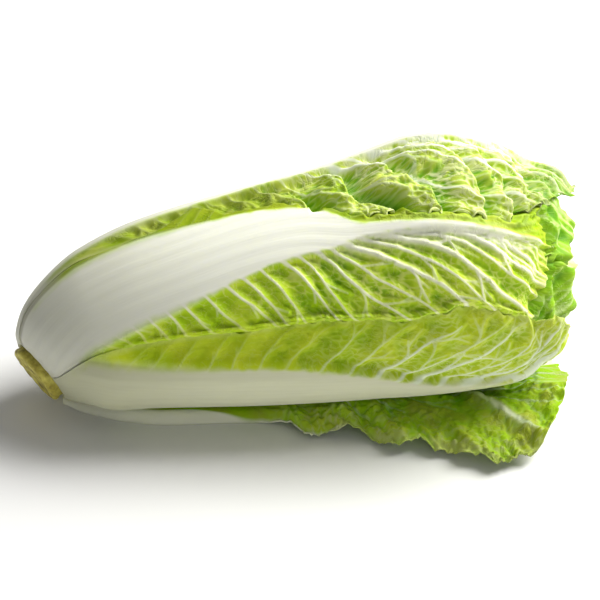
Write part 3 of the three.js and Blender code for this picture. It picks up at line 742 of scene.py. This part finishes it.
def widen(cells, along, across, blur=False):
    """Each cell becomes the most, or with blur the mean, of the cells round it."""
    rows = round(along / CELL_ALONG)
    over_pole = np.roll(cells[::-1][1:rows + 1], CELL_COLUMNS // 2, axis=1)
    longer = np.vstack([np.repeat(cells[:1], rows, axis=0), cells, over_pole])
    windows = [longer[k:k + CELL_ROWS] for k in range(2 * rows + 1)]
    cells = np.mean(windows, axis=0) if blur else np.max(windows, axis=0)
    cell_width = math.radians(CELL_ANGLE) * ring(np.arange(CELL_ROWS) * CELL_ALONG, RADIUS)
    reach = np.minimum(CELL_COLUMNS // 2, np.ceil(across / cell_width)).astype(int)
    out, count = cells.copy(), np.ones((CELL_ROWS, 1))
    for k in range(1, reach.max() + 1):
        rows_in = reach >= k
        left, right = np.roll(cells[rows_in], k, axis=1), np.roll(cells[rows_in], -k, axis=1)
        if blur:
            out[rows_in] += left + right
            count[rows_in] += 2
        else:
            out[rows_in] = np.maximum(out[rows_in], np.maximum(left, right))
    return out / count


def by_place(cells):
    """A function of place on the head that reads a raster of cells."""
    def read(along, angle):
        i = np.clip(along / CELL_ALONG, 0, CELL_ROWS - 1.001)
        j = angle / CELL_ANGLE
        i0, j0 = floor(i), floor(j)
        at = lambda di, dj: cells[i0 + di, (j0 + dj) % CELL_COLUMNS]
        fi, fj = i - i0, j - j0
        return lerp(lerp(at(0, 0), at(1, 0), fi), lerp(at(0, 1), at(1, 1), fi), fj)

    return read


def cover_now():
    """How deep the leaves laid so far reach."""
    return by_place(widen(widen(laid, 1, 1), 1.4, 1.4, blur=True))


def shelter_now():
    """How near a place is to the leaves laid so far: 1 well under them, 0 from `SHELTER` away."""
    return by_place(widen(1.0 * (laid > 0), SHELTER, SHELTER, blur=True))


CROWN_TURN = (285, 350)  # where a leaf's lines leave the flank's and run straight on


def degree_at(along):
    """How many millimetres a degree spans across a leaf."""
    return math.pi / 180 * ring(np.minimum(along, CROWN_TURN[1]), RADIUS)


def place_on_head(run, away, rib_angle):
    """
    Where a point of a leaf lies, `away` degrees beside its midrib. Over the crown the leaf's
    lines stay side by side, so that its tip can lie across the pole.
    """
    to_pole = FLANK - run
    sideways = away * degree_at(run)
    turn = step(*CROWN_TURN, run)
    straight = np.degrees(np.arctan2(sideways, to_pole))
    along = lerp(run, FLANK - np.hypot(to_pole, sideways), turn)
    return along, rib_angle + lerp(away, straight, turn)


def head_leaf(name, material, rib, reach_low, reach_high, start, end, stand, seed, wave,
              stout=1.0, base=0.0, grid=(401, 165), fold=None, vein_spacing=10,
              vein_stout=lambda u: 1.0, tip_spread=23, bold=lambda u: 1.0, pocket=1.8,
              crinkle=1.0, tip_teeth=2.2, frill=1.5, net_size=5.5, low_relief=lambda u: 1.0,
              low_bold=1.0, low_shade=0.0, painted_tip_shade=0.0, blunt=50, rounding=18,
              belly=lambda u: 0.0, slim=lambda u: 1.0, fine=0.0, haze=0.0,
              painted_shade_by_run=lambda u: 0.0):
    """
    A leaf of the head, laid under those that are there already. `rib` is its midrib's angle,
    `reach_low` and `reach_high` the degrees to its margins, and `stand` how far it stands off
    the head's form, all by distance along the flank. `pocket` is how deep its blade sinks
    between the side veins, `crinkle` how rumpled it is, `frill` how far its margin swings and
    `low_relief` the share of all this on its first half, where `low_bold` is how plain the
    veins are and `low_shade` how much painted shade darkens it. `painted_tip_shade` darkens the tip
    with painted shade, `belly` is how far the midrib swells, `slim` how wide it is against the
    common one, `haze` how much it whitens the blade beside it, `painted_shade_by_run` how much
    painted shade darkens the blade, `fine` how strong the small creases are, and `fold` adds big
    folds. The leaf narrows over its last `blunt` millimetres and ends `rounding` sooner at its
    margins.
    """
    cover, shelter = cover_now(), shelter_now()
    rib_at, low_at, high_at, stand_at = map(smooth, (rib, reach_low, reach_high, stand))
    bumps = Bumps(seed)
    rows, columns = grid
    across, share = np.meshgrid(np.linspace(-1, 1, columns), np.linspace(0, 1, rows) ** 0.9)
    side, hand = np.abs(across) ** 0.9, np.sign(across)
    teeth = 1.8 * bumps(across * 70, 7, 3.4) + tip_teeth * bumps(across * 70, 3, 10)
    run = start + (end - 3 - rounding * side ** 3 + teeth * step(0.7, 1, share) - start) * share
    taper = np.sqrt(1 - 0.8 * step(end - blunt, end + 8, run))
    degree = degree_at(run)
    notch = (1.3 * bumps(run, 5 * hand, 2.4) + 1.9 * bumps(run, 40 + 5 * hand, 7)) / degree
    reach = np.where(across < 0, low_at(run), high_at(run)) * taper
    valley, fold_share = fold(run, hand * side * reach * degree, bumps) if fold else (0, 0)
    notch = notch * step(50, 110, run) - FOLD_NOTCH / degree * valley * fold_share
    away = side * (reach + notch * step(0.5, 1, side))
    scaled_rib = lambda u: stout * slim(u) * rib_half_width(u)
    rib_half = np.minimum(scaled_rib(run) / degree, 0.94 * reach)
    off_rib = away / rib_half
    off_mm = (away - rib_half) * degree
    on_rib = np.maximum(0, 1 - off_rib ** 2) ** 0.75
    edge = np.minimum((reach - away) * degree, 1.2 * (end - run))
    thickness = lerp(EDGE_THICKNESS, BLADE, step(0, 6, edge)) + stout * rib_thickness(run) * on_rib
    v = hand * away * degree

    def reach_mm(u, hand):
        return (low_at if hand < 0 else high_at)(u) * degree_at(u)

    veins = side_veins(
        seed, scaled_rib, reach_mm, 50, end - 14, vein_spacing, vein_stout, tip_spread,
    )
    vein_far, vein_half = distance_to(veins, run, v)
    net_far = net_distance(seed, run, v, net_size)

    grows = step(90, 200, run)
    lively = np.where(across < 0, low_relief(run), 1)
    on_blade = step(0, 2 + 0.12 * rib_half * degree, off_mm) * step(45, 90, run) * lively
    folds = FOLD_DEPTH * valley * fold_share
    lean = FOLD_LEAN * (1 - valley) * fold_share
    phase = run / 1.35 + seed + 2.5 * bumps(run, v, 9)
    swing = frill * step(8, 0, edge) * grows
    along, angle = place_on_head(
        run + swing * np.cos(phase) + lean * on_blade,
        hand * (away + swing * np.sin(phase) / degree), rib_at(run),
    )
    over = cover(along, angle)
    covered = step(0, 1, over)
    margin = np.maximum(step(0.4, 1, side), step(0.82, 1, share))
    ripple = unit(np.sin(run / 4.4 + 1.6 * across + 2.1 * seed + 1.5 * bumps(run, v, 25)))
    ruffle = wave * margin * ripple * grows + 1.2 * swing * unit(np.sin(phase + 1.2))
    sunk = 2.6 * on_blade * (1 - 0.6 * step(220, 330, run))
    near_rib = 1 - step(2, 34, off_mm)
    ridge = bell(vein_far, 1.2 * vein_half + 0.6) * np.minimum(1.5, vein_half)
    ridge = ridge * (0.55 + 0.9 * near_rib * step(310, 250, run))
    pits = pocket * (1 - bell(vein_far, 3.6)) * step(0, 10, edge)
    dimples = 0.35 * pocket * (1 - bell(net_far, 1.1)) * (0.25 + 0.75 * grows)
    dimples = dimples * (1 - bell(vein_far, 2.5))
    crease = np.abs(bumps(run, v, 3.1))
    rumple = 1.6 + 1.0 * bumps(run, v, 11) + 0.6 * bumps(run, v, 5) + fine * crease
    rumple = crinkle * rumple * grows
    rib_lines = 0.1 * np.sin(v / 1.35 + 2 * bumps(run, v, 40)) * step(1, -1, off_mm)
    relief = pits + dimples + rumple + folds - ridge
    swell = belly(run) * step(1.5, 0.6, off_rib)
    free = sunk + ruffle + rib_lines - stand_at(run) - swell + on_blade * relief
    foot = base * (1 - step(start, start + 55, run))
    origin, inward, room = head_ray(along, angle)
    depth = np.maximum(over + covered * GAP, foot) + (1 - covered) * free
    depth = np.minimum(depth, room - CORE_ROOM)
    outer = origin + inward * depth[..., None]
    inner = outer + inward * thickness[..., None]
    firm = edge > SOFT_MARGIN
    cell_row = np.clip(np.round(along[firm] / CELL_ALONG).astype(int), 0, CELL_ROWS - 1)
    cell_column = np.round(angle[firm] / CELL_ANGLE).astype(int) % CELL_COLUMNS
    np.maximum.at(laid, (cell_row, cell_column), (depth + thickness)[firm])

    vein_share, plain = vein_masks(vein_far, vein_half)
    # How far down a hollow or a fold valley a place lies; there the blade turns a deeper green,
    # partly its own colour and partly painted shade.
    hollow = 0.32 * pits / pocket + 0.75 * dimples / pocket + 0.2 * (rumple / crinkle - 1.3)
    hollow = hollow + 1.3 * np.square(valley * fold_share) + fine * (crease - 0.35) * grows - 0.12
    hollow = hollow * lively
    # Painted shade: beside the margin of the leaf over it, on the first half, on the midrib towards
    # the foot, where it is partly the stalk's own greyer colour, and along the blade by distance
    # along the flank.
    shade = 0.5 * step(0.02, 0.5, shelter(along, angle)) * (1 - covered)
    low_dark = low_shade * (across < 0) * lerp(1, 0.5, step(190, 300, run))
    shade = shade + low_dark * step(0, 2, off_mm)
    shade = shade + 0.35 * step(140, 50, run) * step(2, 0, off_mm)
    shade = shade + painted_shade_by_run(run) * step(0, 2, off_mm)
    whitened = haze * step(HAZE_WIDTH, 0, off_mm) * (across > 0)
    whitened = whitened * step(185, 215, run) * step(335, 280, run)
    show_net = lerp(0.45, 1, step(130, 220, run))
    softness = 1.4 + 3.5 * step(150, 70, run)
    midrib = step(softness, -softness, off_mm + 0.7 * bumps(run, v, 3.5))
    midrib = midrib * (1 - 0.8 * step(265, 320, run))
    foot_white = step(58, 26, run + 8 * bumps(run, v, 6))
    masks = {
        "rib": np.maximum(midrib, np.maximum(whitened, foot_white)),
        "vein": vein_share,
        "net": net_far / show_net,
        "bold": bold(run) * plain * np.where(across < 0, low_bold, 1),
        # Painted shade: the tip also turns the deeper green.
        "pit": np.clip(hollow + painted_tip_shade * step(end - 60, end - 12, run), 0, 1),
        "shade": np.clip(shade, 0, 1),
        "edge": edge,
        # Painted highlight on the crests of the big folds near the margin.
        "pale": 0.75 * np.square(1 - valley) * fold_share * step(34, 6, edge),
    }
    return leaf_object(name, outer, inner, np.stack([run, v], -1), masks, material)


WRAPPER_GREEN = leaf_material(
    "wrapper_leaf", 0.7,
    rib=(0.92, 0.93, 0.82), rib_shade=(0.82, 0.83, 0.70), blade=(0.41, 0.64, 0.003),
    blade_light=(0.58, 0.75, 0.03), blade_deep=(0.12, 0.38, 0.001), vein=(0.90, 0.93, 0.66),
    net=(0.74, 0.82, 0.22),
)
# The front leaf's midrib faces down and is painted a darker grey than the other wrappers': painted
# shade.
OLIVE_GREEN = leaf_material(
    "front_leaf", 0.8,
    rib=(0.71, 0.72, 0.52), rib_shade=(0.60, 0.61, 0.41), blade=(0.40, 0.55, 0.003),
    blade_light=(0.55, 0.66, 0.02), blade_deep=(0.15, 0.38, 0.001), vein=(0.76, 0.84, 0.62),
    net=(0.66, 0.77, 0.24),
)
BACK_GREEN = leaf_material(
    "top_back_leaf", 0.85,
    rib=(0.84, 0.85, 0.72), rib_shade=(0.74, 0.75, 0.60), blade=(0.35, 0.52, 0.01),
    blade_light=(0.56, 0.67, 0.09), blade_deep=(0.10, 0.34, 0.001), vein=(0.84, 0.89, 0.70),
    net=(0.78, 0.84, 0.42),
)


def big_folds(run, v, bumps):
    """Deep folds across the blade, which bend to the tip: 1 in the valleys, and their share."""
    phase = (run - 0.55 * np.abs(v)) / 31 * 2 * math.pi + 1.8 * bumps(run, v, 24)
    valley = unit(np.sin(phase)) ** 2.2
    share = step(150, 215, run) * step(2, 26, np.abs(v)) * step(350, 315, run)
    return valley, share * np.ones_like(run)


leaf = head_leaf(
    "top_back_leaf", BACK_GREEN,
    rib=[
        [0, -62], [22, -59], [35, -54], [50, -49], [65, -46], [85, -45], [120, -42], [150, -40],
        [205, -32], [258, -22], [320, -12],
    ],
    reach_low=COMMON_REACH,
    reach_high=[
        [0, 42], [22, 43], [35, 45], [50, 44], [66, 46], [81, 47], [96, 44], [108, 35],
        [118, 26], [128, 33], [138, 42], [150, 42], [170, 42], [185, 48], [205, 54], [258, 54],
        [300, 55], [345, 60],
    ],
    start=1, end=364, stand=[[0, 0], [180, 0], [225, 3], [255, 6], [290, 3], [325, 2], [364, 16]],
    seed=1, wave=4, fold=big_folds, grid=(411, 171), vein_spacing=14,
    vein_stout=lambda u: lerp(0.4, 0.9, step(150, 210, u)), pocket=2.6, crinkle=1.3,
    # The last argument here paints shade over the tip.
    tip_teeth=6, frill=2.6, net_size=4.2, fine=0.8, painted_tip_shade=0.75,
    bold=lambda u: lerp(0.5, 1, step(150, 210, u)) * lerp(1, 0.45, step(300, 345, u)),
    # Painted shade over the blade near the foot and near the tip.
    painted_shade_by_run=lambda u: 0.7 * step(205, 150, u) + 0.35 * step(290, 340, u),
)
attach(leaf, "root")
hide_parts("leaf_top_back")

leaf = head_leaf(
    "front_leaf", OLIVE_GREEN,
    rib=[
        [0, 98], [32, 101], [60, 112], [85, 118], [120, 120], [175, 121], [230, 123], [262, 124],
        [340, 120],
    ],
    reach_low=[
        [0, 32], [32, 31], [60, 39], [88, 44], [124, 46], [154, 46], [184, 48], [215, 47],
        [232, 46], [254, 48], [265, 51], [300, 45], [330, 44], [350, 47],
    ],
    reach_high=[[0, 34], [55, 34], [120, 38], [205, 42], [258, 46], [300, 50], [345, 52]],
    start=1, end=353, stand=[[0, 0], [275, 0], [315, 4], [353, 10]], seed=2, wave=3.5,
    belly=lambda u: 5.5 * step(20, 70, u) * lerp(1, 0.6, step(150, 260, u)) * step(345, 290, u),
    slim=lambda u: 1 + 0.9 * step(90, 240, u) * step(320, 235, u), rounding=6, grid=(381, 151),
    vein_spacing=15, vein_stout=lambda u: lerp(0.5, 1.05, step(170, 240, u)), tip_spread=36,
    bold=lambda u: lerp(0.35, 1, step(150, 240, u)), pocket=1.5, crinkle=0.7, frill=0.8,
    # The last argument here paints shade over the tip.
    net_size=4.2, blunt=20, tip_teeth=3.5, painted_shade_by_run=lambda u: 0.4 * step(300, 325, u),
)
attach(leaf, "root")
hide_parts("leaf_front")

leaf = head_leaf(
    "low_back_leaf", WRAPPER_GREEN,
    rib=[[0, 246], [120, 252], [345, 256]],
    reach_low=COMMON_REACH,
    reach_high=[[0, 44], [40, 44], [85, 42], [120, 45], [205, 58], [300, 68], [345, 70]],
    start=1, end=358, stand=[[0, 0], [310, 0], [358, 8]], seed=3, wave=6, grid=(301, 121),
    vein_stout=lambda u: lerp(0.8, 1, step(150, 220, u)),
)
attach(leaf, "root")
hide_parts("leaf_low_back")

leaf = head_leaf(
    "top_leaf", WRAPPER_GREEN,
    rib=[
        [0, 34], [60, 36], [90, 34], [120, 30], [150, 26], [180, 26], [205, 31], [235, 34],
        [262, 37], [303, 43], [345, 50],
    ],
    reach_low=[[0, 72], [25, 70], [40, 62], [85, 54], [120, 56], [205, 60], [300, 68], [345, 70]],
    reach_high=[[0, 40], [40, 38], [85, 44], [120, 52], [160, 58], [205, 61], [258, 66], [345, 72]],
    slim=lambda u: lerp(1, 0.4, step(188, 215, u)),
    start=1, end=338, stand=[[0, 0], [345, 0]], seed=4, wave=4, grid=(401, 165),
    vein_stout=lambda u: lerp(0.8, 1.25, step(150, 210, u)) * lerp(1, 0.3, step(245, 305, u)),
    tip_spread=26, pocket=2.2, crinkle=0.9, net_size=4.6,
    low_relief=lambda u: lerp(0.15, 0.7, step(190, 240, u)),
    # The blade's first half is painted darker, as shade under the margin of the top back leaf.
    low_bold=0.1, low_shade=0.9, fine=0.4, haze=0.4,
)
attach(leaf, "root")
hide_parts("leaf_top")

# ---- Inner leaves ----
# Inside the wrapper come paler leaves, each turned on along the growth spiral and shorter at
# its foot. Their tips stand out of the crown one inside the other.

INNER_LEAVES = 10
CROWN_LEAVES = 5  # the first of them, at the crown in the light, are deeper green, partly painted shade
SPIRAL = 137.5  # degrees from each leaf to the next one inwards
LAST_WRAPPER = 36  # the angle of the leaf that they follow
# The crown leaves' dark greens are partly their own colour and partly painted shade.
CROWN_GREEN = leaf_material(
    "crown_leaf", 0.6,
    rib=(0.66, 0.72, 0.42), rib_shade=(0.54, 0.60, 0.30), blade=(0.12, 0.33, 0.002),
    blade_light=(0.28, 0.48, 0.01), blade_deep=(0.04, 0.19, 0.001), vein=(0.50, 0.66, 0.22),
    net=(0.40, 0.60, 0.06),
)
INNER_GREEN = leaf_material(
    "inner_leaf", 0.6,
    rib=(0.84, 0.84, 0.66), rib_shade=(0.72, 0.73, 0.48), blade=(0.38, 0.54, 0.05),
    blade_light=(0.58, 0.68, 0.15), blade_deep=(0.16, 0.34, 0.012), vein=(0.80, 0.84, 0.50),
    net=(0.62, 0.72, 0.26),
)
for count in range(1, INNER_LEAVES + 1):
    turn = LAST_WRAPPER + SPIRAL * count
    near_crown = count <= CROWN_LEAVES
    leaf = head_leaf(
        f"inner_leaf_{count}.skin", CROWN_GREEN if near_crown else INNER_GREEN,
        rib=[[0, turn], [FLANK, turn + 10]], reach_low=COMMON_REACH, reach_high=COMMON_REACH,
        start=14 + 2.2 * count, end=354 + 6 * count,
        stand=[[0, 0], [310, 0], [350 + 5 * count, 5], [FLANK, 5]], stout=0.72 - 0.035 * count,
        base=14 + 2 * count, wave=8, seed=count + 5, grid=(161, 73) if near_crown else (101, 45),
        vein_spacing=15, vein_stout=lambda u: 0.7, pocket=1.8, crinkle=1.4, tip_teeth=5,
        frill=3.2, net_size=7,
    )
    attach(leaf, "root")
    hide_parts(f"inner_leaf_{count}")

# ---- Heart ----
# The young leaves in the middle, yellow and packed tight. They hardly show.

HEART_START = 84
HEART_ROOM = 1.2  # under the leaves round it
HEART_FOLD = 3.5
HEART_LEAST = 4  # its least radius round the core
POLE_ROOM = 2  # between its last ring and the pole of the crown
HEART_YELLOW = leaf_material(
    "young_leaves", 0.5,
    rib=(0.86, 0.84, 0.55), rib_shade=(0.78, 0.76, 0.42), blade=(0.66, 0.68, 0.24),
    blade_light=(0.78, 0.78, 0.36), blade_deep=(0.42, 0.48, 0.10), vein=(0.86, 0.86, 0.58),
    net=(0.80, 0.80, 0.44),
)


def lofted(name, rings, material):
    """A closed solid through rings of points, with a flat cap at each end."""
    rings = (np.array(rings) + HEAD_ORIGIN) * MM
    count = rings.shape[1]
    bm = bmesh.new()
    loops = []
    for points in rings:
        loops.append(bmesh.ops.create_circle(bm, segments=count, radius=1)["verts"])
        for vert, place in zip(loops[-1], points):
            vert.co = place
    for pair in zip(loops, loops[1:]):
        edges = [e for e in bm.edges if any(all(v in loop for v in e.verts) for loop in pair)]
        bmesh.ops.bridge_loops(bm, edges=edges)
    bm.faces.new(loops[0])
    bm.faces.new(loops[-1])
    bmesh.ops.recalc_face_normals(bm, faces=bm.faces)
    for face in bm.faces:
        face.smooth = len(face.verts) == 4
    return piece_of(name, bm, material)


def heart_rings(rings, sides):
    """Rings of the bud's outer form, with folds that turn round it."""
    cover = cover_now()
    angle = np.arange(sides) * 360 / sides
    made = []
    for along in np.linspace(HEART_START, FLANK - POLE_ROOM, rings):
        places = np.full(sides, along)
        origin, inward, room = head_ray(places, angle)
        fold = HEART_FOLD * np.abs(np.sin(np.radians(2 * angle + 0.5 * along)))
        depth = np.minimum(cover(places, angle) + HEART_ROOM + fold, room - HEART_LEAST)
        made.append(origin + inward * depth[:, None])
    return made


heart = lofted("heart_leaves", heart_rings(46, 64), HEART_YELLOW)
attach(heart, "root")
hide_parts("heart")

# ---- Stump ----
# The short stem that all the leaves grow from, cut straight across. The cut has dried to a
# yellow brown, with an olive rim and the ends of the fibres showing.

# The cut face and its rounded rim, as how far each ring stands out of the head, and its radius.
STUMP_FACE = (
    (4.2, 2), (4.4, 6), (4.3, 10), (4.6, 14), (4.9, 17), (4.6, 18.6), (3.8, 19.4), (2, 19.5),
    (0.5, 18.9),
)
STUMP_RINGS = (10, 22, 34, 48, 62)  # places along the flank, inside the stalks
STEM_ROOM = 2.5  # between the stem and the stalks round it
STEM_INWARD = 0.3  # least share of the way in to the core
STEM_LEAST = 5  # its least radius round the core
STEM_BROWN = (0.20, 0.14, 0.03, 1)
STEM_OLIVE = (0.50, 0.43, 0.06, 1)
STEM_YELLOW = (0.84, 0.77, 0.16, 1)


def stump_rings(sides):
    """Rings of the cut face, from its middle out, and then of the stem inside the stalks."""
    cover = cover_now()
    angle = np.arange(sides) * 360 / sides
    turn = np.radians(angle)
    bumps = Bumps(31)
    centre, axis, up, near = ring_frame(0)
    made = []
    for out, radius in STUMP_FACE:
        rough = 0.35 * bumps(radius * np.cos(turn) + 90, radius * np.sin(turn) + 90, 2.6)
        wide = radius * (1 + 0.02 * bumps(40 * np.cos(turn) + 90, 40 * np.sin(turn) + 90, 12))
        spokes = up * np.cos(turn)[:, None] + near * np.sin(turn)[:, None]
        made.append(centre - axis * (out + rough)[:, None] + spokes * wide[:, None])
    for along in STUMP_RINGS:
        places = np.full(sides, float(along))
        origin, inward, room = head_ray(places, angle)
        depth = np.maximum(cover(places, angle) + STEM_ROOM, STEM_INWARD * room)
        made.append(origin + inward * np.minimum(depth, room - STEM_LEAST)[:, None])
    return made


stump_material, stump_tree, stump_shader = new_material("cut_stem")
stem_place = add_node(stump_tree, "ShaderNodeTexCoord").outputs["Object"]
stem_noise = add_node(
    stump_tree, "ShaderNodeTexNoise", {"Vector": stem_place, "Scale": 180.0, "Detail": 5.0},
)
stem_ramp = add_node(stump_tree, "ShaderNodeValToRGB", {"Fac": stem_noise.outputs["Fac"]})
stops = stem_ramp.color_ramp.elements
stops[0].position, stops[1].position = 0.3, 0.7
stops[0].color, stops[1].color = STEM_BROWN, STEM_YELLOW
stops.new(0.45).color = STEM_OLIVE
stem_bump = add_node(stump_tree, "ShaderNodeBump", {
    "Height": stem_noise.outputs["Fac"], "Strength": 0.8, "Distance": 0.001,
})
set_inputs(stump_shader, {
    "Base Color": stem_ramp.outputs["Color"], "Roughness": 0.7,
    "Normal": stem_bump.outputs["Normal"],
})

stump = lofted("cut_stump", stump_rings(72), stump_material)
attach(stump, "root")
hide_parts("stump")
